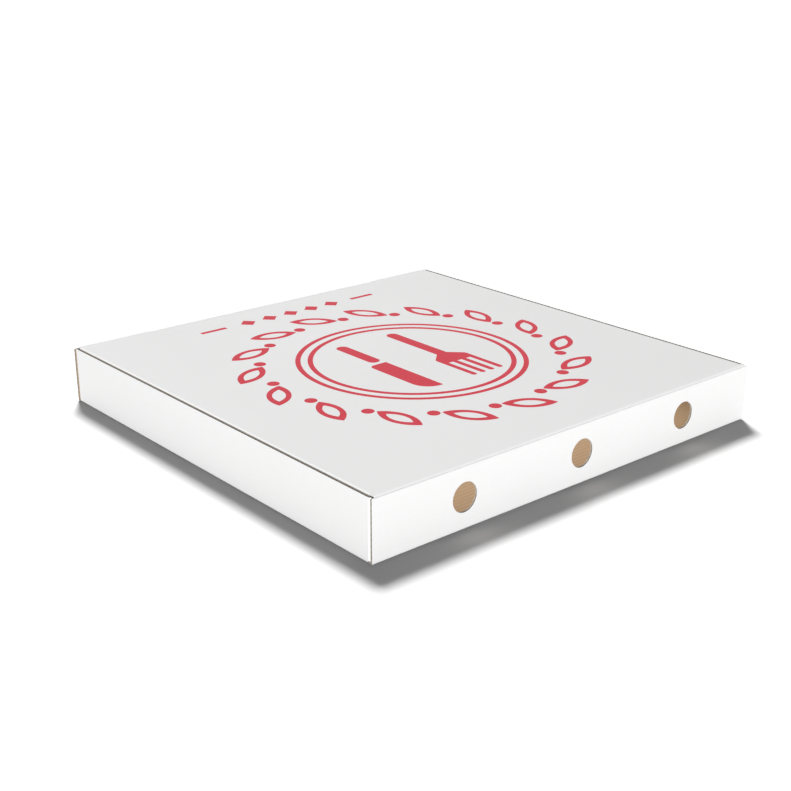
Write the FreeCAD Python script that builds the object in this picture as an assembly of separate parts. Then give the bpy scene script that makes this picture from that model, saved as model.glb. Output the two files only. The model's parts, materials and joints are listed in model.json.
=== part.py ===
import FreeCAD, Part
import math
import os

# Pizza box: one sheet of fine corrugated board, folded into a tray with a hinged lid.
# Millimetres, +Z up. X runs along the hinge, the front is at -Y and the hinge at +Y.
# The origin is the middle of the footprint, on the surface that the box stands on.

V = FreeCAD.Vector

# Outside of the closed box
box_width = 330.0
box_depth = 330.0
box_height = 40.0

# Board, and the tight folds pressed into it
board = 1.5
fold_inside = 0.2

# Clearances between neighbouring plies of the sheet
ear_gap = 0.3
lid_side_gap = 0.5
lid_front_gap = 0.4
hinge_gap = 0.2

# Tray walls, measured down from the top of the closed lid
side_wall_drop = 0.6
front_wall_drop = 1.5
ear_drop = 4.0

# Corner ears, from the outside of the side wall
ear_length = 55.0
ear_corner = 10.0

# Round vents in the back wall
vent_count = 3
vent_diameter = 18.7
vent_pitch = 97.4
vent_height = 20.3

# Side flaps of the lid
side_flap_depth = 30.0
side_flap_inset = 4.0
side_flap_taper = 12.0
flap_corner = 8.0

# Tuck flap at the front of the lid
tuck_depth = 31.0
tuck_lean = 4.0
tuck_clear = 4.0
tuck_taper = 5.0

# Two small relief notches in the front fold
notch_width = 2.2
notch_reach = 2.0
notch_right = 49.0
notch_left = -65.0

# Printed ink on the lid
ink = 0.06
ink_line = 3.6
wreath_y = 8.0
wreath_radius = 112.0
plate_radius = 80.0
plate_rim = 8.4
leaf_count = 16
leaf_length = 36.0
leaf_width = 16.0
leaf_turn = 55.0
berry_radius = 4.2
cutlery_length = 104.0
cutlery_spread = 23.0
fork_width = 28.0
fork_tine = 4.0
fork_tines = 4
tine_length = 29.0
handle_width = 9.0
bar_roundness = 0.98
blade_length = 58.0
blade_width = 15.0
blade_tip = 13.5
band_y = -133.0
band_length = 160.0
band_diamonds = 5
diamond_size = 6.5

# Worked out from the sizes above
half_width = box_width / 2
half_depth = box_depth / 2
fold_outside = fold_inside + board
lid_underside = box_height - board
side_top = box_height - side_wall_drop
front_top = box_height - front_wall_drop
ear_top = box_height - ear_drop
ear_bottom = board + ear_gap
ear_outer_y = half_depth - board - ear_gap
side_run = ear_outer_y - fold_outside
lid_half_width = half_width - board - lid_side_gap
lid_front = half_depth - board - lid_front_gap
side_flap_end = half_depth - side_flap_inset
tuck_half_width = half_width - ear_length - tuck_clear
overlap = 1.0


def on_yz(x):
    """Mapping of a flat section point to the plane at this X."""
    return lambda a, b: V(x, a, b)


def on_xz(y):
    """Mapping of a flat section point to the plane at this Y."""
    return lambda a, b: V(a, y, b)


def on_xy(z):
    """Mapping of a flat section point to the plane at this Z."""
    return lambda a, b: V(a, b, z)


def unit(a, b):
    """Direction of the run from a to b, and its length."""
    dx = b[0] - a[0]
    dy = b[1] - a[1]
    length = math.hypot(dx, dy)
    return (dx / length, dy / length), length


def shifted(point, direction, amount):
    """A flat point moved along a direction."""
    return (point[0] + direction[0] * amount, point[1] + direction[1] * amount)


def fold_points(before, corner, after, inner):
    """Tangent and middle points of one fold, on the outer and the inner face."""
    run_in, _ = unit(before, corner)
    run_out, _ = unit(corner, after)
    turn = math.acos(run_in[0] * run_out[0] + run_in[1] * run_out[1])
    back = fold_outside * math.tan(turn / 2)
    normal_in = (-inner * run_in[1], inner * run_in[0])
    normal_out = (-inner * run_out[1], inner * run_out[0])
    start = shifted(corner, run_in, -back)
    end = shifted(corner, run_out, back)
    centre = shifted(start, normal_in, fold_outside)
    to_corner, _ = unit(centre, corner)
    outer = (start, shifted(centre, to_corner, fold_outside), end)
    inside = (
        shifted(start, normal_in, board),
        shifted(centre, to_corner, fold_inside),
        shifted(end, normal_out, board),
    )
    return outer, inside


def folded_section(points, inner, place):
    """Section of a folded sheet along its outer face, with inner 1 for board on the left."""
    outer_folds = []
    inner_folds = []
    for before, corner, after in zip(points, points[1:], points[2:]):
        outer, inside = fold_points(before, corner, after, inner)
        outer_folds.append(outer)
        inner_folds.append(inside)
    first, _ = unit(points[0], points[1])
    last, _ = unit(points[-2], points[-1])
    inner_start = shifted(points[0], (-inner * first[1], inner * first[0]), board)
    inner_end = shifted(points[-1], (-inner * last[1], inner * last[0]), board)
    edges = sheet_side(points[0], outer_folds, points[-1], place)
    edges.append(Part.makeLine(place(*points[-1]), place(*inner_end)))
    edges.extend(sheet_side(inner_start, inner_folds, inner_end, place))
    edges.append(Part.makeLine(place(*points[0]), place(*inner_start)))
    return Part.Face(Part.Wire(Part.__sortEdges__(edges)))


def sheet_side(start, folds, end, place):
    """Straight runs and fold arcs along one face of the sheet."""
    edges = []
    at = start
    for begin, middle, finish in folds:
        edges.append(Part.makeLine(place(*at), place(*begin)))
        edges.append(Part.Arc(place(*begin), place(*middle), place(*finish)).toShape())
        at = finish
    edges.append(Part.makeLine(place(*at), place(*end)))
    return edges


def block(x0, x1, y0, y1, z0, z1):
    """Box between two corners."""
    return Part.makeBox(x1 - x0, y1 - y0, z1 - z0, V(x0, y0, z0))


def prism(points, direction):
    """Straight prism on a polygon of 3-D points."""
    return Part.Face(Part.makePolygon(points + points[:1])).extrude(direction)


def mirrored_x(shape):
    """The same shape on the other side of the middle plane."""
    return shape.mirror(V(0, 0, 0), V(1, 0, 0))


def mirrored_y(shape):
    """The same shape at the other end of the depth."""
    return shape.mirror(V(0, 0, 0), V(0, 1, 0))


def hinge_cut(above):
    """What lies on one side of the mitre through the hinge fold, with half of the gap."""
    reach = 2 * fold_outside
    side = 1 if above else -1
    back_off = -side * hinge_gap / 2 * math.sqrt(2)
    low = V(-box_width, half_depth - reach, box_height - reach + back_off)
    high = V(-box_width, half_depth + reach, box_height + reach + back_off)
    far = V(0, 0, side * 2 * reach)
    return prism([low, high, high + far, low + far], V(2 * box_width, 0, 0))


def rounded_outline(points, radius, place):
    """Face on a polygon, with rounded corners where a radius is given."""
    edges = []
    count = len(points)
    starts = []
    for i in range(count):
        before = points[i - 1]
        corner = points[i]
        after = points[(i + 1) % count]
        run_in, _ = unit(before, corner)
        run_out, _ = unit(corner, after)
        turn = math.acos(run_in[0] * run_out[0] + run_in[1] * run_out[1])
        back = radius[i] * math.tan(turn / 2)
        start = shifted(corner, run_in, -back)
        end = shifted(corner, run_out, back)
        starts.append((start, end, corner, radius[i], turn))
    for i in range(count):
        start, end, corner, size, turn = starts[i]
        following = starts[(i + 1) % count][0]
        if size > 0:
            to_start, length = unit(corner, start)
            to_end, _ = unit(corner, end)
            inward = unit((0, 0), (to_start[0] + to_end[0], to_start[1] + to_end[1]))[0]
            depth = size / math.cos(turn / 2) - size
            edges.append(Part.Arc(place(*start), place(*shifted(corner, inward, depth)), place(*end)).toShape())
        edges.append(Part.makeLine(place(*end), place(*following)))
    return Part.Face(Part.Wire(Part.__sortEdges__(edges)))


def front_base_back():
    """Front wall, floor and back wall as one bent strip over the whole width."""
    points = [
        (-half_depth, front_top),
        (-half_depth, 0.0),
        (half_depth, 0.0),
        (half_depth, box_height),
        (half_depth - fold_outside - overlap, box_height),
    ]
    strip = folded_section(points, 1, on_yz(-half_width)).extrude(V(box_width, 0, 0))
    strip = strip.cut(hinge_cut(True))
    floor_y = half_depth - fold_outside
    edge_x = half_width - fold_outside
    trim = block(edge_x, half_width, -floor_y, floor_y, 0, board)
    return strip.cut(trim).cut(mirrored_x(trim))


def side_wall():
    """Side wall at +X, with the fold that joins it to the floor."""
    points = [
        (half_width - fold_outside - overlap, 0.0),
        (half_width, 0.0),
        (half_width, side_top),
    ]
    return folded_section(points, 1, on_xz(-side_run)).extrude(V(0, 2 * side_run, 0))


def corner_ears():
    """The two ears of the side wall at +X, folded in behind the front and back walls."""
    points = [
        (half_width - ear_length, ear_outer_y),
        (half_width, ear_outer_y),
        (half_width, side_run - overlap),
    ]
    band = folded_section(points, -1, on_xy(ear_bottom)).extrude(V(0, 0, side_top - ear_bottom))
    inner = half_width - ear_length
    flat = half_width - fold_outside
    low_part = [(inner, ear_bottom), (flat, ear_bottom), (flat, ear_top), (inner, ear_top)]
    ear = rounded_outline(low_part, [ear_corner, 0, 0, ear_corner], on_xz(side_run - overlap))
    ear = ear.extrude(V(0, board + fold_outside + 2 * overlap, 0))
    bend = block(flat, half_width, side_run - 2 * overlap, half_depth, ear_bottom, side_top)
    ear = band.common(ear.fuse(bend))
    return [ear, mirrored_y(ear)]


def vents():
    """Round punched vents of the back wall."""
    first = -vent_pitch * (vent_count - 1) / 2
    holes = []
    for i in range(vent_count):
        centre = V(first + i * vent_pitch, half_depth - board - overlap, vent_height)
        holes.append(Part.makeCylinder(vent_diameter / 2, board + 2 * overlap, centre, V(0, 1, 0)))
    return holes


def make_tray():
    """Floor, four walls and the corner ears."""
    right = [side_wall()] + corner_ears()
    left = [mirrored_x(shape) for shape in right]
    tray = front_base_back().multiFuse(right + left)
    return tray.cut(vents()).removeSplitter()


def lid_panel():
    """Top panel with the lid's half of the hinge fold."""
    points = [
        (half_depth, box_height - fold_outside - overlap),
        (half_depth, box_height),
        (-lid_front, box_height),
    ]
    panel = folded_section(points, 1, on_yz(-lid_half_width)).extrude(V(2 * lid_half_width, 0, 0))
    panel = panel.cut(hinge_cut(False))
    flap_x = lid_half_width - fold_outside
    sides = block(flap_x, half_width, -side_flap_end, side_flap_end, 0, box_height)
    front_y = fold_outside - lid_front
    front = block(-tuck_half_width, tuck_half_width, -half_depth, front_y, 0, box_height)
    return panel.cut([sides, mirrored_x(sides), front])


def side_flap():
    """Flap of the lid at +X that slides inside the side wall."""
    bottom = box_height - side_flap_depth
    points = [
        (lid_half_width - fold_outside - overlap, box_height),
        (lid_half_width, box_height),
        (lid_half_width, bottom),
    ]
    flap = folded_section(points, -1, on_xz(-side_flap_end)).extrude(V(0, 2 * side_flap_end, 0))
    low = side_flap_end - side_flap_taper
    outline = [
        (-side_flap_end, box_height),
        (-side_flap_end, lid_underside - fold_inside),
        (-low, bottom),
        (low, bottom),
        (side_flap_end, lid_underside - fold_inside),
        (side_flap_end, box_height),
    ]
    shape = rounded_outline(outline, [0, 0, flap_corner, flap_corner, 0, 0], on_yz(0))
    return flap.common(shape.extrude(V(half_width, 0, 0)))


def tuck_flap():
    """Front flap of the lid, leaning inwards so that it swings clear of the front wall."""
    lean = math.radians(tuck_lean)
    end = (tuck_depth * math.sin(lean) - lid_front, box_height - tuck_depth * math.cos(lean))
    points = [(fold_outside + overlap - lid_front, box_height), (-lid_front, box_height), end]
    flap = folded_section(points, 1, on_yz(-tuck_half_width)).extrude(V(2 * tuck_half_width, 0, 0))
    low = tuck_half_width - tuck_taper
    outline = [
        (-tuck_half_width, box_height),
        (-tuck_half_width, lid_underside - fold_inside),
        (-low, end[1] - board),
        (low, end[1] - board),
        (tuck_half_width, lid_underside - fold_inside),
        (tuck_half_width, box_height),
    ]
    shape = rounded_outline(outline, [0, 0, flap_corner, flap_corner, 0, 0], on_xz(-half_depth))
    return flap.common(shape.extrude(V(0, half_depth, 0)))


def relief_notches():
    """Short cuts through the front fold."""
    notches = []
    for centre in (notch_left, notch_right):
        x0 = centre - notch_width / 2
        back = notch_reach - lid_front
        notches.append(block(x0, x0 + notch_width, -half_depth, back, lid_underside - notch_reach, box_height))
    return notches


def make_lid():
    """Top panel, two side flaps and the tuck flap."""
    flap = side_flap()
    lid = lid_panel().multiFuse([flap, mirrored_x(flap), tuck_flap()])
    return lid.cut(relief_notches()).removeSplitter()


def disc(x, y, radius):
    """Round field of ink."""
    return Part.Face(Part.Wire(Part.makeCircle(radius, V(x, y, box_height))))


def ring(x, y, radius):
    """Round line of ink."""
    return disc(x, y, radius).cut(disc(x, y, radius - ink_line))


def field(points):
    """Straight-edged field of ink."""
    corners = [V(x, y, box_height) for x, y in points]
    return Part.Face(Part.makePolygon(corners + corners[:1]))


def bar(x, y0, y1, width):
    """Bar of ink along Y with round ends."""
    r = width / 2
    place = on_xy(box_height)
    outline = [(x - r, y0), (x + r, y0), (x + r, y1), (x - r, y1)]
    return rounded_outline(outline, [r * bar_roundness] * 4, place)


def lens(length, width):
    """Pointed leaf outline along X, centred on the origin."""
    a = V(-length / 2, 0, box_height)
    b = V(length / 2, 0, box_height)
    top = Part.Arc(a, V(0, width / 2, box_height), b).toShape()
    low = Part.Arc(b, V(0, -width / 2, box_height), a).toShape()
    return Part.Face(Part.Wire([top, low]))


def placed(shape, x, y, angle):
    """Ink shape turned about its own middle and moved to its place."""
    copy = shape.copy()
    copy.rotate(V(0, 0, box_height), V(0, 0, 1), angle)
    copy.translate(V(x, y, 0))
    return copy


def wreath():
    """Ring of leaf outlines with a berry between neighbours."""
    hollow = lens(leaf_length - 4 * ink_line, leaf_width - 2 * ink_line)
    leaf = lens(leaf_length, leaf_width).cut(hollow)
    faces = []
    step = 360.0 / leaf_count
    for i in range(leaf_count):
        angle = math.radians(i * step)
        x = wreath_radius * math.cos(angle)
        y = wreath_y + wreath_radius * math.sin(angle)
        faces.append(placed(leaf, x, y, i * step + leaf_turn))
        turn = angle + math.radians(step / 2)
        reach = wreath_radius - leaf_width / 2
        faces.append(disc(reach * math.cos(turn), wreath_y + reach * math.sin(turn), berry_radius))
    return faces


def fork():
    """Fork with its tines towards the back of the box."""
    low = wreath_y - cutlery_length / 2
    high = wreath_y + cutlery_length / 2
    root = high - tine_length
    middle = -cutlery_spread
    faces = [bar(middle, low, root, handle_width)]
    spacing = (fork_width - fork_tine) / (fork_tines - 1)
    for i in range(fork_tines):
        x = middle - fork_width / 2 + fork_tine / 2 + i * spacing
        faces.append(bar(x, root - handle_width, high, fork_tine))
    shoulder = fork_width / 2
    faces.append(rounded_outline(
        [
            (middle - shoulder, root),
            (middle - shoulder, root - handle_width),
            (middle - handle_width / 2, root - 2 * handle_width),
            (middle + handle_width / 2, root - 2 * handle_width),
            (middle + shoulder, root - handle_width),
            (middle + shoulder, root),
        ],
        [0, fork_tine, 0, 0, fork_tine, 0],
        on_xy(box_height),
    ))
    return faces[0].multiFuse(faces[1:]).removeSplitter().Faces


def knife():
    """Knife with its blade towards the back of the box."""
    low = wreath_y - cutlery_length / 2
    high = wreath_y + cutlery_length / 2
    left = cutlery_spread - handle_width / 2
    heel = high - blade_length
    blade = rounded_outline(
        [(left, heel), (left + blade_width, heel), (left + blade_width, high), (left, high)],
        [0, handle_width / 2, blade_tip, 0],
        on_xy(box_height),
    )
    handle = bar(cutlery_spread, low, heel - ink_line, handle_width)
    return [blade, handle]


def front_band():
    """Two thin lines with a row of diamonds between them, near the front edge."""
    faces = []
    pitch = diamond_size * 3
    row = pitch * (band_diamonds - 1)
    for i in range(band_diamonds):
        x = -row / 2 + i * pitch
        s = diamond_size
        faces.append(field([(x - s, band_y), (x, band_y - s), (x + s, band_y), (x, band_y + s)]))
    inner = row / 2 + pitch
    for side in (-1, 1):
        x0 = side * inner
        x1 = side * band_length / 2
        low = band_y - ink_line / 2
        high = band_y + ink_line / 2
        faces.append(field([(x0, low), (x1, low), (x1, high), (x0, high)]))
    return faces


def make_print():
    """Ink of the generic design, a wreath round a plate with fork and knife."""
    faces = wreath() + fork() + knife() + front_band()
    faces.append(ring(0, wreath_y, plate_radius))
    faces.append(ring(0, wreath_y, plate_radius - plate_rim))
    solids = []
    for face in faces:
        for part in face.Faces:
            up = part.extrude(V(0, 0, ink))
            solids.extend(up.Solids)
    return Part.makeCompound(solids)


def export(shape, name):
    """Write one node, and report what it holds."""
    print(name, len(shape.Solids), "solids, valid", shape.isValid(), "volume", round(shape.Volume, 1))
    shape.exportStep("parts/" + name + ".step")


os.makedirs("parts", exist_ok=True)
export(make_tray(), "tray")
export(make_lid(), "lid")
export(make_print(), "lid_print")
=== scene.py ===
"""Looks of a flat pizza box: board that is white outside and kraft inside, and a red print on its lid."""

import json
import logging
import math
from collections.abc import Callable
from dataclasses import dataclass, field
from enum import Enum

import bmesh
import bpy
from mathutils import Matrix, Vector
from mathutils.bvhtree import BVHTree

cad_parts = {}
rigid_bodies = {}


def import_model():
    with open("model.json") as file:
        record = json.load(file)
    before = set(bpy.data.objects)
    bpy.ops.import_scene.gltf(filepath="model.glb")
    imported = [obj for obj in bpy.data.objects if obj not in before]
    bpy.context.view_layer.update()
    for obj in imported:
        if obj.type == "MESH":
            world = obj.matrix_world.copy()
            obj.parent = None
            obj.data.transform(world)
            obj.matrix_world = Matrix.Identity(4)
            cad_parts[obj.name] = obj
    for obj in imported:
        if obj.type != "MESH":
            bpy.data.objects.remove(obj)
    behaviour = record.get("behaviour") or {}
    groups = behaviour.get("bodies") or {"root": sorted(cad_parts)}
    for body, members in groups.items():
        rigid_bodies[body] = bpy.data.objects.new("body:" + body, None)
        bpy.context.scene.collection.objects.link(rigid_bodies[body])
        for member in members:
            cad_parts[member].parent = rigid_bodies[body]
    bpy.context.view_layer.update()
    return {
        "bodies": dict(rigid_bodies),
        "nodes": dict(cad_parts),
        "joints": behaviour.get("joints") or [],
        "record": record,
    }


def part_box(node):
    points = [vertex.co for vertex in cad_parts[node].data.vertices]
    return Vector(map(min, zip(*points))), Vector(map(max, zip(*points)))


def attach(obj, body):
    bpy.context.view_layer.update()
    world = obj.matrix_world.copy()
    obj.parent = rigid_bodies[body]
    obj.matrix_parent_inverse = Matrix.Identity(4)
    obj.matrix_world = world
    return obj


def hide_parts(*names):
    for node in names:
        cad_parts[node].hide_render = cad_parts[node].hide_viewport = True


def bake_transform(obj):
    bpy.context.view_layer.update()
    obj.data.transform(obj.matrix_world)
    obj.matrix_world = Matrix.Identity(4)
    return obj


LOG = logging.getLogger("pizza_box")
MM = 0.001
BOARD_MAP = "Board"

Number = float | int
Colour = tuple[float, float, float, float]


class Side(Enum):
    """What a face of the folded sheet belongs to. The value is its material's place on the sheet."""

    OUTSIDE = 0
    INSIDE = 1
    CUT = 2
    CREASE = 3


@dataclass(frozen=True)
class Board:
    """The corrugated board that the whole box is folded from, in metres."""

    thickness: float = 1.5 * MM
    liner: float = 0.24 * MM
    flute_pitch: float = 3.5 * MM
    recess: float = 0.35 * MM
    recess_lean: float = 0.024 * MM
    skin: float = 0.03 * MM
    fold_radius: float = 1.7 * MM
    bend: float = 1.9 * MM


@dataclass(frozen=True)
class Hinge:
    """Line that the lid turns on, half its length, and the middle of the closed box."""

    point: Vector
    half_width: float
    middle: Vector

    @classmethod
    def from_frame(cls) -> "Hinge":
        """Finds the line where the outer faces of the back wall and the lid meet.

        Returns:
            The hinge, from the bounds of the two halves of the sheet.
        """
        _, tray_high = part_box("tray")
        _, lid_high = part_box("lid")
        point = Vector((0.0, tray_high.y, lid_high.z))
        return cls(point, lid_high.x, Vector((0.0, 0.0, point.z / 2)))


class Socket:
    """One output of a material's nodes, on which arithmetic adds Math nodes."""

    def __init__(self, nodes: "Nodes", socket: bpy.types.NodeSocket) -> None:
        """Keeps the socket and the node builder that it belongs to."""
        self.nodes = nodes
        self.socket = socket

    def maths(self, operation: str, *others: "Socket | Number") -> "Socket":
        """Applies a Math node to this socket and the other operands."""
        return self.nodes.maths(operation, self, *others)

    def __add__(self, other: "Socket | Number") -> "Socket":
        """Sum."""
        return self.maths("ADD", other)

    def __radd__(self, other: Number) -> "Socket":
        """Sum with a number in front."""
        return self.nodes.maths("ADD", other, self)

    def __sub__(self, other: "Socket | Number") -> "Socket":
        """Difference."""
        return self.maths("SUBTRACT", other)

    def __rsub__(self, other: Number) -> "Socket":
        """Difference from a number."""
        return self.nodes.maths("SUBTRACT", other, self)

    def __mul__(self, other: "Socket | Number") -> "Socket":
        """Product."""
        return self.maths("MULTIPLY", other)

    def __rmul__(self, other: Number) -> "Socket":
        """Product with a number in front."""
        return self.nodes.maths("MULTIPLY", other, self)

    def __abs__(self) -> "Socket":
        """Absolute value."""
        return self.maths("ABSOLUTE")

    def sine(self) -> "Socket":
        """Sine of the value in radians."""
        return self.maths("SINE")

    def ridges(self) -> "Socket":
        """Sine of the value in radians, moved to lie between 0 and 1."""
        return self.sine() * 0.5 + 0.5

    def step(self, low: Number, high: Number) -> "Socket":
        """Smooth rise from 0 at low to 1 at high.

        Args:
            low: Value where the rise starts.
            high: Value where it ends.

        Returns:
            The socket with the rise.
        """
        inputs = {"Value": self, "From Min": low, "From Max": high, "To Min": 0.0, "To Max": 1.0}
        return self.nodes.add("ShaderNodeMapRange", {"interpolation_type": "SMOOTHSTEP"}, inputs)


class Nodes:
    """Builds the node tree of one material or of the world."""

    noise_roughness: float = 0.55

    def __init__(self, tree: bpy.types.NodeTree) -> None:
        """Empties the tree that it is given."""
        self.tree = tree
        tree.nodes.clear()

    def add(
        self,
        kind: str,
        settings: dict[str, object] | None = None,
        inputs: dict[str | int, object] | None = None,
        output: str | int = 0,
    ) -> Socket:
        """Adds one node.

        Args:
            kind: The node's type.
            settings: Properties of the node, set before its sockets.
            inputs: Values or links of its sockets, by name or number.
            output: The output that is wanted, by name or number.

        Returns:
            That output, or the first input of a node that ends the tree.
        """
        node = self.tree.nodes.new(kind)
        for name, value in (settings or {}).items():
            setattr(node, name, value)
        for name, value in (inputs or {}).items():
            if isinstance(value, Socket):
                self.tree.links.new(value.socket, node.inputs[name])
            else:
                node.inputs[name].default_value = value
        ends = node.outputs if node.outputs else node.inputs
        return Socket(self, ends[output])

    def maths(self, operation: str, *operands: Socket | Number) -> Socket:
        """Adds a Math node with the given operation and operands."""
        return self.add("ShaderNodeMath", {"operation": operation}, dict(enumerate(operands)))

    def blend(self, factor: Socket | Number, low: object, high: object) -> Socket:
        """Mixes two colours.

        Args:
            factor: 0 gives low and 1 gives high.
            low: First colour, a socket or four numbers.
            high: Second colour.

        Returns:
            The mixed colour.
        """
        inputs = {"Factor": factor, 6: low, 7: high}
        return self.add("ShaderNodeMix", {"data_type": "RGBA"}, inputs, output=2)

    def noise(self, scale: float, detail: float, stretch: tuple[float, float, float] = (1, 1, 1)) -> Socket:
        """Adds noise on Object coordinates.

        Args:
            scale: Cells per metre.
            detail: Octaves.
            stretch: Scale of each axis.

        Returns:
            The noise, from 0 to 1.
        """
        place = self.add("ShaderNodeTexCoord", output="Object")
        mapped = self.add("ShaderNodeMapping", inputs={"Vector": place, "Scale": stretch})
        inputs = {"Vector": mapped, "Scale": scale, "Detail": detail, "Roughness": self.noise_roughness}
        return self.add("ShaderNodeTexNoise", inputs=inputs)

    def board_map(self) -> tuple[Socket, Socket]:
        """Reads the sheet's own map.

        Returns:
            Flutes along the sheet, and the share of its thickness from the inner liner.
        """
        place = self.add("ShaderNodeUVMap", {"uv_map": BOARD_MAP})
        along = self.add("ShaderNodeSeparateXYZ", inputs={"Vector": place})
        across = Socket(self, along.socket.node.outputs[1])
        return along, across

    def seen(self) -> Socket:
        """1 for rays that show the surroundings, also in gloss, and 0 for rays that light the box."""
        rays = [self.add("ShaderNodeLightPath", output=name) for name in ("Is Camera Ray", "Is Glossy Ray")]
        return rays[0].maths("MAXIMUM", rays[1])

    def bump(self, height: Socket, strength: float, distance: float) -> Socket:
        """Turns a height into a normal.

        Args:
            height: Height from 0 to 1.
            strength: Share of the bump that shows.
            distance: Metres that a height of 1 stands for.

        Returns:
            The bumped normal.
        """
        inputs = {"Strength": strength, "Distance": distance, "Height": height}
        return self.add("ShaderNodeBump", inputs=inputs)

    def surface(self, colour: object, roughness: object, normal: Socket | None, specular: float) -> None:
        """Ends the tree in a Principled surface.

        Args:
            colour: Base colour, a socket or four numbers.
            roughness: A socket or a number.
            normal: The bumped normal, if there is one.
            specular: Specular level.
        """
        inputs = {"Base Color": colour, "Roughness": roughness, "Specular IOR Level": specular}
        if normal is not None:
            inputs["Normal"] = normal
        shader = self.add("ShaderNodeBsdfPrincipled", inputs=inputs)
        self.add("ShaderNodeOutputMaterial", inputs={"Surface": shader})


def new_material(name: str) -> tuple[bpy.types.Material, Nodes]:
    """Makes an empty material.

    Args:
        name: Its name.

    Returns:
        The material and the builder of its nodes.
    """
    material = bpy.data.materials.new(name)
    material.use_nodes = True
    return material, Nodes(material.node_tree)


@dataclass(frozen=True)
class WhiteLiner:
    """Coated white paper on the outside of the board."""

    name: str = "white_liner"
    bright: Colour = (0.905, 0.905, 0.902, 1)
    dull: Colour = (0.878, 0.878, 0.874, 1)
    cloud_scale: float = 9.0
    grain_scale: float = 2600.0
    speck_scale: float = 420.0
    roughness: float = 0.6
    specular: float = 0.3
    relief: float = 0.03 * MM

    def build(self) -> bpy.types.Material:
        """Mottles the white, with faint ridges where the flutes press through; the bump raises the ridges,
        and the white is painted a little lighter and darker along them as their shade.

        Returns:
            The material.
        """
        material, nodes = new_material(self.name)
        along, _ = nodes.board_map()
        ridges = (along * math.tau).ridges()
        cloud = nodes.noise(self.cloud_scale, 3)
        grain = nodes.noise(self.grain_scale, 2)
        speck = nodes.noise(self.speck_scale, 4, (1, 2.2, 1))
        # painted shade: ridges * 0.15 makes the white lighter and darker with the flute ridges; cloud and
        # speck are the paper's own mottle
        mottle_and_ridge_shade = cloud.step(0.3, 0.7) * 0.5 + speck.step(0.25, 0.8) * 0.35 + ridges * 0.15
        colour = nodes.blend(mottle_and_ridge_shade, self.dull, self.bright)
        height = ridges * 0.45 + grain * 0.2 + speck * 0.35
        normal = nodes.bump(height, 0.5, self.relief)
        nodes.surface(colour, self.roughness + grain * 0.14, normal, self.specular)
        return material


@dataclass(frozen=True)
class KraftLiner:
    """Bare brown paper on the inside of the board."""

    name: str = "kraft_liner"
    light: Colour = (0.52, 0.38, 0.245, 1)
    dark: Colour = (0.4, 0.282, 0.168, 1)
    fleck: Colour = (0.22, 0.145, 0.08, 1)
    fibre_scale: float = 900.0
    cloud_scale: float = 26.0
    pulp_scale: float = 1500.0
    fleck_scale: float = 620.0
    roughness: float = 0.78
    specular: float = 0.25
    relief: float = 0.06 * MM

    def build(self) -> bpy.types.Material:
        """Draws brown fibres along the flutes and dark flecks, and paints the flutes as lighter and darker
        bands, as shade of the ridges that the bump raises.

        Returns:
            The material.
        """
        material, nodes = new_material(self.name)
        along, _ = nodes.board_map()
        ridges = (along * math.tau).ridges()
        fibres = nodes.noise(self.fibre_scale, 5, (1, 6, 6))
        cloud = nodes.noise(self.cloud_scale, 4)
        pulp = nodes.noise(self.pulp_scale, 3)
        flecks = nodes.noise(self.fleck_scale, 2, (0.6, 1, 1)).step(0.7, 0.76)
        # painted shade: ridges * 0.4 bands the brown lighter and darker with the flute ridges; fibres and
        # cloud are the paper's own tone
        fibres_and_ridge_shade = fibres.step(0.25, 0.75) * 0.5 + cloud.step(0.2, 0.8) * 0.1 + ridges * 0.4
        colour = nodes.blend(flecks * 0.5, nodes.blend(fibres_and_ridge_shade, self.dark, self.light), self.fleck)
        height = ridges * 0.5 + fibres * 0.3 + pulp * 0.2
        normal = nodes.bump(height, 0.7, self.relief)
        nodes.surface(colour, self.roughness + pulp * 0.15, normal, self.specular)
        return material


@dataclass(frozen=True)
class CutEdge:
    """Cut edge of the board: two liners with the wavy fluting between them, and the channels beside the
    fluting painted dark as shade.

    The wave, the paper and the liners' edges are shares of the board's thickness.
    """

    name: str = "cut_edge"
    paper: Colour = (0.84, 0.83, 0.81, 1)
    kraft: Colour = (0.47, 0.425, 0.37, 1)
    # painted shade: colour of the hollow flute channels, darker than any paper in them
    painted_hollow_shade: Colour = (0.13, 0.118, 0.102, 1)
    wave: float = 0.27
    paper_share: float = 0.11
    inner_edge: tuple[float, float] = (0.18, 0.2)
    outer_edge: tuple[float, float] = (0.84, 0.87)
    torn_scale: float = 2400.0
    roughness: float = 0.85
    specular: float = 0.2
    relief: float = 0.08 * MM

    def build(self) -> bpy.types.Material:
        """Draws the fluting as a wave across the thickness, between a brown and a white liner, and paints
        the channels beside the wave near black as their shade.

        Returns:
            The material.
        """
        material, nodes = new_material(self.name)
        along, across = nodes.board_map()
        middle = (along * math.tau).sine() * self.wave + 0.5
        flute = 1 - abs(across - middle).step(self.paper_share * 0.6, self.paper_share * 1.5)
        torn = nodes.noise(self.torn_scale, 3)
        # painted shade: outside the wave the core takes the near-black channel colour; the real recess is
        # only 0.35 mm deep
        core = nodes.blend(flute * (torn * 0.5 + 0.6), self.painted_hollow_shade, self.kraft)
        inner = nodes.blend(1 - across.step(*self.inner_edge), core, self.kraft)
        colour = nodes.blend(across.step(*self.outer_edge), inner, self.paper)
        nodes.surface(colour, self.roughness, nodes.bump(torn, 0.6, self.relief), self.specular)
        return material


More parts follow.
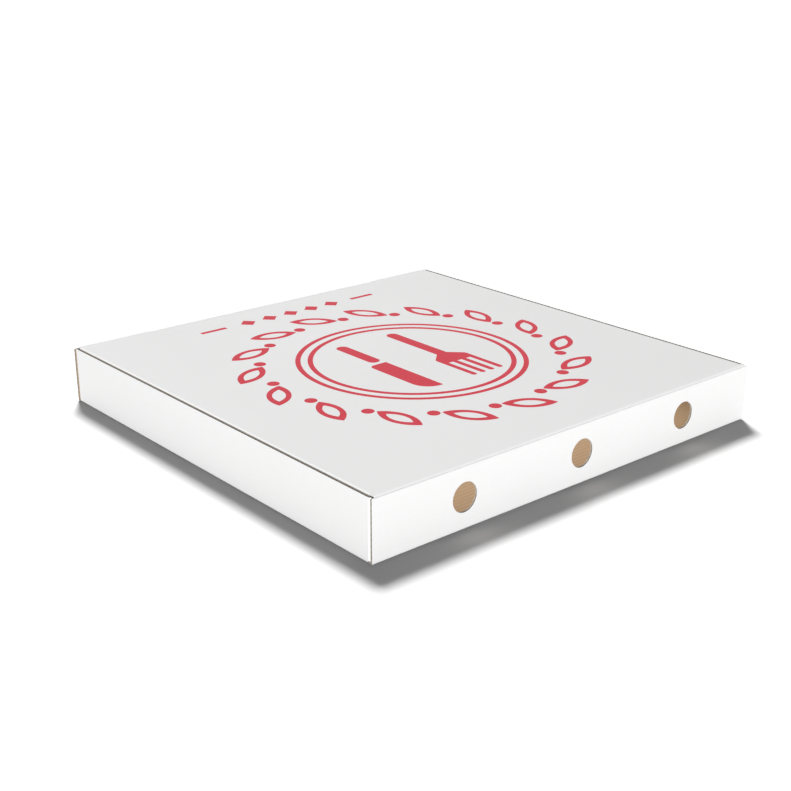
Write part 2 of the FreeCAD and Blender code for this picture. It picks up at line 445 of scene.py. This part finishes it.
@dataclass(frozen=True)
class CreaseCore:
    """Crushed board in the mitre of the hinge crease."""

    name: str = "crease_core"
    kraft: Colour = (0.44, 0.32, 0.2, 1)
    crushed: Colour = (0.24, 0.165, 0.1, 1)
    streak_scale: float = 1200.0
    roughness: float = 0.85
    specular: float = 0.2
    relief: float = 0.1 * MM

    def build(self) -> bpy.types.Material:
        """Streaks the brown along the crease.

        Returns:
            The material.
        """
        material, nodes = new_material(self.name)
        streak = nodes.noise(self.streak_scale, 4, (0.12, 1, 1))
        colour = nodes.blend(streak.step(0.35, 0.65), self.crushed, self.kraft)
        nodes.surface(colour, self.roughness, nodes.bump(streak, 0.7, self.relief), self.specular)
        return material


@dataclass(frozen=True)
class ScoredLiner:
    """White paper bent over the hinge, with a thin grey line painted along the score as its shade.

    The line's height over the strip's foot and its reach are in millimetres, as the strip's map is.
    """

    name: str = "scored_liner"
    paper: Colour = (0.895, 0.895, 0.892, 1)
    # painted shade: grey of the score line
    line: Colour = (0.67, 0.67, 0.665, 1)
    line_height: float = 2.55
    line_reach: float = 0.3
    break_scale: float = 280.0
    roughness: float = 0.65
    specular: float = 0.3

    def build(self) -> bpy.types.Material:
        """Paints the score's shade as a grey line along the strip, broken a little by noise.

        Returns:
            The material.
        """
        material, nodes = new_material(self.name)
        _, above = nodes.board_map()
        score_breaks = nodes.noise(self.break_scale, 2, (1, 0.1, 0.1)).step(0.3, 0.6) * 0.4 + 0.6
        # painted shade: the grey line stands for the shade in the score's groove, which the smooth strip
        # does not have; the noise only breaks it up
        score_shade = 1 - abs(above - self.line_height).step(self.line_reach * 0.3, self.line_reach)
        colour = nodes.blend(score_shade * score_breaks, self.paper, self.line)
        nodes.surface(colour, self.roughness, None, self.specular)
        return material


@dataclass(frozen=True)
class RedInk:
    """Matt red ink of a rubber printing plate."""

    name: str = "red_ink"
    full: Colour = (0.66, 0.035, 0.06, 1)
    thin: Colour = (0.73, 0.075, 0.105, 1)
    flute_pitch: float = Board.flute_pitch
    pore_scale: float = 1700.0
    cloud_scale: float = 60.0
    roughness: float = 0.62
    specular: float = 0.18
    relief: float = 0.03 * MM

    def build(self) -> bpy.types.Material:
        """Thins the red between the flutes and in the paper's pores.

        Returns:
            The material.
        """
        material, nodes = new_material(self.name)
        place = nodes.add("ShaderNodeTexCoord", output="Object")
        along = nodes.add("ShaderNodeSeparateXYZ", inputs={"Vector": place}, output=1)
        ridges = (along * (math.tau / self.flute_pitch)).ridges()
        pores = nodes.noise(self.pore_scale, 3)
        cloud = nodes.noise(self.cloud_scale, 2)
        thin = (1 - ridges) * 0.3 + pores.step(0.52, 0.8) * 0.4 + cloud.step(0.4, 0.8) * 0.2
        colour = nodes.blend(thin, self.full, self.thin)
        height = ridges * 0.5 + pores * 0.5
        normal = nodes.bump(height, 0.5, self.relief)
        nodes.surface(colour, self.roughness + pores * 0.15, normal, self.specular)
        return material


@dataclass
class Finishes:
    """All materials of the box."""

    white: bpy.types.Material = field(default_factory=lambda: WhiteLiner().build())
    kraft: bpy.types.Material = field(default_factory=lambda: KraftLiner().build())
    cut: bpy.types.Material = field(default_factory=lambda: CutEdge().build())
    crease: bpy.types.Material = field(default_factory=lambda: CreaseCore().build())
    scored: bpy.types.Material = field(default_factory=lambda: ScoredLiner().build())
    ink: bpy.types.Material = field(default_factory=lambda: RedInk().build())

    def on_sheet(self) -> list[bpy.types.Material]:
        """The sheet's materials, in the order of Side."""
        return [self.white, self.kraft, self.cut, self.crease]

    def on_strip(self) -> list[bpy.types.Material]:
        """The hinge strip's materials, in the order of Side."""
        return [self.scored, self.crease]


def add_object(name: str, data: bpy.types.ID) -> bpy.types.Object:
    """Links a new object into the scene.

    Args:
        name: The object's name.
        data: Its mesh, lamp or camera.

    Returns:
        The object.
    """
    made = bpy.data.objects.new(name, data)
    bpy.context.scene.collection.objects.link(made)
    return made


def add_mesh(name: str, bm: bmesh.types.BMesh, materials: list[bpy.types.Material]) -> bpy.types.Object:
    """Ends a mesh in progress as an object of the scene.

    Args:
        name: The name of the mesh and of the object.
        bm: The mesh in progress, which is freed.
        materials: Its materials, in the order of its faces' numbers.

    Returns:
        The object.
    """
    mesh = bpy.data.meshes.new(name)
    bm.to_mesh(mesh)
    bm.free()
    for material in materials:
        mesh.materials.append(material)
    return add_object(name, mesh)


@dataclass
class FoldedSheet:
    """Visible form of one half of the folded sheet, worked up from its frame node."""

    node: str
    body: str
    piece: str
    record_slot: str
    panel_at: Callable[[Vector, Vector], tuple[float, float]]
    hinge: Hinge
    board: Board = field(default_factory=Board)
    merge: float = 2e-6
    flat_angle: float = math.radians(0.6)
    sharp_angle: float = math.radians(40)
    mitre_slack: float = 0.03
    mitre_offset: float = 0.3 * MM
    thickness_slack: float = 0.12 * MM

    def build(self, frame: dict, finishes: Finishes) -> bpy.types.Object:
        """Makes the piece and lets it ride on its body.

        Args:
            finishes: The box's materials.

        Returns:
            The finished object.
        """
        bm = self.merged_copy(frame)
        self.sort_faces(bm)
        bmesh.ops.dissolve_limit(
            bm,
            angle_limit=self.flat_angle,
            use_dissolve_boundaries=False,
            verts=bm.verts,
            edges=bm.edges,
            delimit={"MATERIAL", "NORMAL"},
        )
        self.recess_cuts(bm)
        self.hold_size(bm)
        self.map_board(bm)
        self.mark_sharp(bm)
        sheet = add_mesh(self.piece, bm, finishes.on_sheet())
        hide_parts(self.node)
        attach(sheet, self.body)
        return sheet

    def merged_copy(self, frame: dict) -> bmesh.types.BMesh:
        """Copies the node, merges its triangles, and parts them where the lid ends.

        The back wall's mitre is wider than the lid, and only the part under the lid is crushed.


        Returns:
            The mesh in progress.
        """
        bm = bmesh.new()
        bm.from_mesh(frame["nodes"][self.node].data)
        bmesh.ops.remove_doubles(bm, verts=bm.verts, dist=self.merge)
        for end in (-self.hinge.half_width, self.hinge.half_width):
            parts = bm.verts[:] + bm.edges[:] + bm.faces[:]
            bmesh.ops.bisect_plane(bm, geom=parts, dist=self.merge, plane_co=(end, 0, 0), plane_no=(1, 0, 0))
        return bm

    def sort_faces(self, bm: bmesh.types.BMesh) -> None:
        """Gives each face its material by what it belongs to.

        Args:
            bm: The merged triangles.
        """
        tree = BVHTree.FromBMesh(bm)
        for face in bm.faces:
            centre = face.calc_center_median()
            if self.on_mitre(face.normal, centre):
                side = Side.CREASE if abs(centre.x) < self.hinge.half_width else Side.OUTSIDE
            elif not self.on_bend(face.normal, centre) and not self.on_liner(tree, face.normal, centre):
                side = Side.CUT
            elif face.normal.dot(centre - self.hinge.middle) > 0:
                side = Side.OUTSIDE
            else:
                side = Side.INSIDE
            face.material_index = side.value

    def on_mitre(self, normal: Vector, point: Vector) -> bool:
        """Tells whether a face lies on the cut through the hinge fold.

        Args:
            normal: The face's normal.
            point: Its middle.

        Returns:
            True on the mitre.
        """
        offset = (point.y - self.hinge.point.y) - (point.z - self.hinge.point.z)
        slanted = abs(abs(normal.y) - abs(normal.z)) < self.mitre_slack and abs(normal.x) < self.mitre_slack
        return slanted and abs(offset) < self.mitre_offset

    def on_bend(self, normal: Vector, point: Vector) -> bool:
        """Tells whether a face lies on the rounded liners of the hinge fold, which the mitre cuts short."""
        corner = self.hinge.point - Vector((0, self.board.bend, self.board.bend))
        return point.y > corner.y and point.z > corner.z and abs(normal.x) < self.mitre_slack

    def on_liner(self, tree: BVHTree, normal: Vector, point: Vector) -> bool:
        """Tells whether just the board's thickness lies behind a face.

        Args:
            tree: The merged triangles.
            normal: The face's normal.
            point: Its middle.

        Returns:
            True on a liner, and False on a cut edge.
        """
        start = point - normal * self.board.skin
        depth = tree.ray_cast(start, -normal)[3]
        if depth is None:
            return False
        return abs(depth + self.board.skin - self.board.thickness) < self.thickness_slack

    def recess_cuts(self, bm: bmesh.types.BMesh) -> None:
        """Sinks the fluting between the two liners along every cut edge.

        Args:
            bm: The mesh in progress.
        """
        cuts = [face for face in bm.faces if face.material_index == Side.CUT.value]
        for inset, depth in ((self.board.liner, 0), (self.board.recess_lean, -self.board.recess)):
            bmesh.ops.inset_region(
                bm,
                faces=cuts,
                thickness=inset,
                depth=depth,
                use_boundary=True,
                use_even_offset=False,
            )

    def hold_size(self, bm: bmesh.types.BMesh) -> None:
        """Brings any corner that the recess pushed out back to the board's surface.

        Args:
            bm: The mesh in progress.
        """
        low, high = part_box(self.node)
        for vert in bm.verts:
            vert.co = [min(max(at, least), most) for at, least, most in zip(vert.co, low, high)]

    def map_board(self, bm: bmesh.types.BMesh) -> None:
        """Writes the sheet's own map, in flutes along it and in shares of its thickness.

        Args:
            bm: The mesh in progress.
        """
        layer = bm.loops.layers.uv.new(BOARD_MAP)
        for face in bm.faces:
            centre = face.calc_center_median()
            for loop in face.loops:
                along, across = self.panel_at(centre, loop.vert.co)
                loop[layer].uv = (along / self.board.flute_pitch, across / self.board.thickness)

    def mark_sharp(self, bm: bmesh.types.BMesh) -> None:
        """Smooths the folds and keeps the cut corners sharp.

        Args:
            bm: The mesh in progress.
        """
        for face in bm.faces:
            face.smooth = True
        for edge in bm.edges:
            turn = edge.calc_face_angle(0.0) if len(edge.link_faces) == 2 else math.pi
            same = len({face.material_index for face in edge.link_faces}) == 1
            edge.smooth = turn < self.sharp_angle and same


@dataclass
class TrayPanels:
    """Tells the tray's panels apart, to follow the flutes round its folds."""

    high: Vector
    board: Board = field(default_factory=Board)
    slack: float = 0.15 * MM
    ear_gap: float = 0.3 * MM

    def __call__(self, centre: Vector, point: Vector) -> tuple[float, float]:
        """Place of a point on the board.

        Args:
            centre: Middle of the point's face, which settles the panel.
            point: The point itself.

        Returns:
            Metres across the flutes, and metres from the inner liner.
        """
        wall = self.high.y - self.board.thickness
        if abs(centre.y) > wall - self.slack and centre.z > self.board.fold_radius:
            return point.z, abs(point.y) - wall
        side = self.high.x - self.board.thickness
        if abs(centre.x) > side - self.slack and centre.z > self.board.fold_radius:
            return point.y, abs(point.x) - side
        if centre.z > self.board.thickness + self.slack:
            ear = wall - self.board.thickness - self.ear_gap
            return point.x, abs(point.y) - ear
        return point.y, self.board.thickness - point.z


@dataclass
class LidPanels:
    """Tells the lid's panels apart, to follow the flutes round its folds."""

    low: Vector
    high: Vector
    board: Board = field(default_factory=Board)
    slack: float = 0.15 * MM

    def __call__(self, centre: Vector, point: Vector) -> tuple[float, float]:
        """Place of a point on the board.

        Args:
            centre: Middle of the point's face, which settles the panel.
            point: The point itself.

        Returns:
            Metres across the flutes, and metres from the inner liner.
        """
        under = self.high.z - self.board.thickness
        if centre.z > under - self.slack:
            return point.y, point.z - under
        side = self.high.x - self.board.thickness
        if abs(centre.x) > side - self.slack:
            return point.y, abs(point.x) - side
        return point.z, self.low.y + self.board.thickness - point.y


@dataclass
class CreaseLiner:
    """Strip of the outer liner, white outside and brown inside, that joins the lid to the back wall.
    """

    hinge: Hinge
    piece: str = "crease_liner"
    lift: float = 0.015 * MM
    ply: float = 0.4 * MM
    run: float = 1.6 * MM
    steps: int = 9
    split: tuple[float, float] = (42.0, 48.0)
    merge: float = 1e-7
    board: Board = field(default_factory=Board)

    def build(self, finishes: Finishes) -> bpy.types.Object:
        """Bends the strip and lines it.

        Args:
            finishes: The box's materials.

        Returns:
            The finished strip.
        """
        radius = self.board.fold_radius
        centre = Vector((0, self.hinge.point.y - radius, self.hinge.point.z - radius))
        bm = self.bent_strip(centre)
        self.line_inside(bm)
        layer = bm.loops.layers.uv.new(BOARD_MAP)
        for face in bm.faces:
            face.smooth = True
            for loop in face.loops:
                loop[layer].uv = (loop.vert.co.x / MM, (loop.vert.co.z - centre.z + self.run) / MM)
        strip = add_mesh(self.piece, bm, finishes.on_strip())
        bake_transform(strip)
        return strip

    def bent_strip(self, centre: Vector) -> bmesh.types.BMesh:
        """Raises the strip up the wall, spins it over the bend, and pulls it onto the lid.

        Args:
            centre: A point on the bend's axis.

        Returns:
            The mesh in progress.
        """
        low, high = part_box("lid")
        wall = self.hinge.point.y + self.lift
        bm = bmesh.new()
        ends = [bm.verts.new((side, wall, centre.z - self.run)) for side in (low.x, high.x)]
        foot = bm.edges.new(ends)
        raised, top = parted(bmesh.ops.extrude_edge_only(bm, edges=[foot])["geom"])
        bmesh.ops.translate(bm, verts=raised, vec=(0, 0, self.run))
        turned = bmesh.ops.spin(
            bm,
            geom=raised + top,
            cent=centre,
            axis=(1, 0, 0),
            angle=math.radians(90),
            steps=self.steps,
            use_merge=False,
        )
        _, last = parted(turned["geom_last"])
        pulled, _ = parted(bmesh.ops.extrude_edge_only(bm, edges=last)["geom"])
        bmesh.ops.translate(bm, verts=pulled, vec=(0, -self.run, 0))
        bmesh.ops.remove_doubles(bm, verts=bm.verts, dist=self.merge)
        return bm

    def line_inside(self, bm: bmesh.types.BMesh) -> None:
        """Turns the strip's faces outwards and lines it with a second, brown layer that faces the box.

        Args:
            bm: The strip in progress.
        """
        bmesh.ops.recalc_face_normals(bm, faces=bm.faces)
        if sum(face.normal.dot(face.calc_center_median() - self.hinge.middle) for face in bm.faces) < 0:
            bmesh.ops.reverse_faces(bm, faces=bm.faces)
        bm.normal_update()
        copied = bmesh.ops.duplicate(bm, geom=bm.verts[:] + bm.edges[:] + bm.faces[:])["geom"]
        for item in copied:
            if isinstance(item, bmesh.types.BMVert):
                item.co -= item.normal * self.ply
                item.co.x -= math.copysign(self.ply, item.co.x)
        lining = [item for item in copied if isinstance(item, bmesh.types.BMFace)]
        for face in lining:
            face.material_index = Side.INSIDE.value
        bmesh.ops.reverse_faces(bm, faces=lining)


def parted(geometry: list) -> tuple[list[bmesh.types.BMVert], list[bmesh.types.BMEdge]]:
    """Parts what an operator made.

    Args:
        geometry: Its points, edges and faces.

    Returns:
        The points and the edges.
    """
    points = [item for item in geometry if isinstance(item, bmesh.types.BMVert)]
    edges = [item for item in geometry if isinstance(item, bmesh.types.BMEdge)]
    return points, edges


@dataclass(frozen=True)
class LidPrint:
    """The ink on the lid, whose shapes are the frame's own."""

    node: str = "lid_print"

    def dress(self, frame: dict, finishes: Finishes) -> bpy.types.Object:
        """Gives the frame's node the red ink.

        Args:
            finishes: The box's materials.

        Returns:
            The node's object.
        """
        ink = frame["nodes"][self.node]
        ink.data.materials.clear()
        ink.data.materials.append(finishes.ink)
        return ink


def towards(azimuth: float, height: float) -> Vector:
    """Direction from the box to something around it.

    Args:
        azimuth: Degrees from the front (-Y), anticlockwise seen from above.
        height: Degrees over the floor.

    Returns:
        The unit direction.
    """
    turn = math.radians(azimuth)
    rise = math.radians(height)
    return Vector((math.sin(turn) * math.cos(rise), -math.cos(turn) * math.cos(rise), math.sin(rise)))


@dataclass(frozen=True)
class Sun:
    """One soft lamp at infinity: watts per square metre, and three angles in degrees."""

    name: str
    strength: float
    azimuth: float
    height: float
    softness: float

    def build(self) -> bpy.types.Object:
        """Adds the lamp.

        Returns:
            Its object.
        """
        lamp = bpy.data.lights.new(self.name, "SUN")
        lamp.energy = self.strength
        lamp.angle = math.radians(self.softness)
        holder = add_object(self.name, lamp)
        holder.rotation_euler = towards(self.azimuth, self.height).to_track_quat("Z", "Y").to_euler()
        return holder


@dataclass
class Studio:
    """Floor, backdrop and light."""

    floor_size: float = 40.0
    sky: float = 0.1
    key: Sun = Sun("key", strength=2.61, azimuth=-31.0, height=54.0, softness=14.0)
    fill: Sun = Sun("fill", strength=4.45, azimuth=137.8, height=1.5, softness=5.0)
    glow: float = 0.092
    glow_size: tuple[float, float] = (0.305, 0.08)
    glow_place: tuple[float, float, float] = (-0.005, 0.12, 0.0375)
    floor_seen: float = 1.34
    floor_lit: float = 0.4

    def build(self) -> None:
        """Adds everything round the box.

        The low fill lights only what it meets, or its bounces would wash out the drop shadow.
        """
        self.floor()
        self.world()
        self.key.build()
        fill = self.fill.build()
        fill.data.cycles.max_bounces = 0
        fill.visible_glossy = False
        self.inner_glow()

    def floor(self) -> None:
        """Adds a white floor that keeps the box's shadow."""
        bm = bmesh.new()
        bmesh.ops.create_grid(bm, x_segments=1, y_segments=1, size=self.floor_size / 2)
        material, nodes = new_material("floor")
        seen = nodes.seen()
        shine = [(level, level, level, 1) for level in (self.floor_lit, self.floor_seen)]
        shader = nodes.add("ShaderNodeBsdfDiffuse", inputs={"Color": nodes.blend(seen, *shine)})
        nodes.add("ShaderNodeOutputMaterial", inputs={"Surface": shader})
        floor = add_mesh("floor", bm, [material])

    def world(self) -> None:
        """Adds a white backdrop that lights the box softly from all round."""
        world = bpy.data.worlds.new("studio")
        world.use_nodes = True
        bpy.context.scene.world = world
        nodes = Nodes(world.node_tree)
        strength = nodes.seen() * (1 - self.sky) + self.sky
        shader = nodes.add("ShaderNodeBackground", inputs={"Color": (1, 1, 1, 1), "Strength": strength})
        nodes.add("ShaderNodeOutputWorld", inputs={"Surface": shader})

    def inner_glow(self) -> None:
        """Adds a weak lamp under the lid, which stands for the light that real vents let in."""
        lamp = bpy.data.lights.new("inner_glow", "AREA")
        lamp.shape = "RECTANGLE"
        lamp.size, lamp.size_y = self.glow_size
        lamp.energy = self.glow
        holder = add_object("inner_glow", lamp)
        holder.location = self.glow_place
        holder.visible_camera = False
        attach(holder, "lid")


@dataclass
class Camera:
    """The photograph's view, from a fit of the box's corners."""

    position: tuple[float, float, float] = (0.5599, 0.6477, 0.3307)
    azimuth: float = 139.57
    height: float = 20.5
    focal_px: float = 1307.9
    image_px: float = 791.0
    sensor: float = 36.0
    clip_start: float = 0.01

    def build(self) -> None:
        """Adds the camera and makes it the scene's."""
        data = bpy.data.cameras.new("camera")
        data.sensor_width = self.sensor
        data.lens = self.focal_px / self.image_px * self.sensor
        data.clip_start = self.clip_start
        camera = add_object("camera", data)
        turn = towards(self.azimuth, self.height).to_track_quat("Z", "Y").to_matrix().to_4x4()
        camera.matrix_world = Matrix.Translation(self.position) @ turn
        bpy.context.scene.camera = camera


def main() -> None:
    """Builds the whole scene."""
    logging.basicConfig(level=logging.INFO)
    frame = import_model()
    bpy.context.scene.view_settings.view_transform = "Standard"
    finishes = Finishes()
    Camera().build()
    Studio().build()
    hinge = Hinge.from_frame()
    tray = FoldedSheet(
        node="tray",
        body="tray",
        piece="tray_sheet",
        record_slot="tray_board",
        panel_at=TrayPanels(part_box("tray")[1]),
        hinge=hinge,
    )
    lid = FoldedSheet(
        node="lid",
        body="lid",
        piece="lid_sheet",
        record_slot="lid_board",
        panel_at=LidPanels(*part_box("lid")),
        hinge=hinge,
    )
    pieces = [tray.build(frame, finishes), lid.build(frame, finishes)]
    pieces.append(CreaseLiner(hinge).build(finishes))
    pieces.append(LidPrint().dress(frame, finishes))
    for piece in pieces:
        LOG.info("%s: %d faces", piece.name, len(piece.data.polygons))


if __name__ == "__main__":
    main()
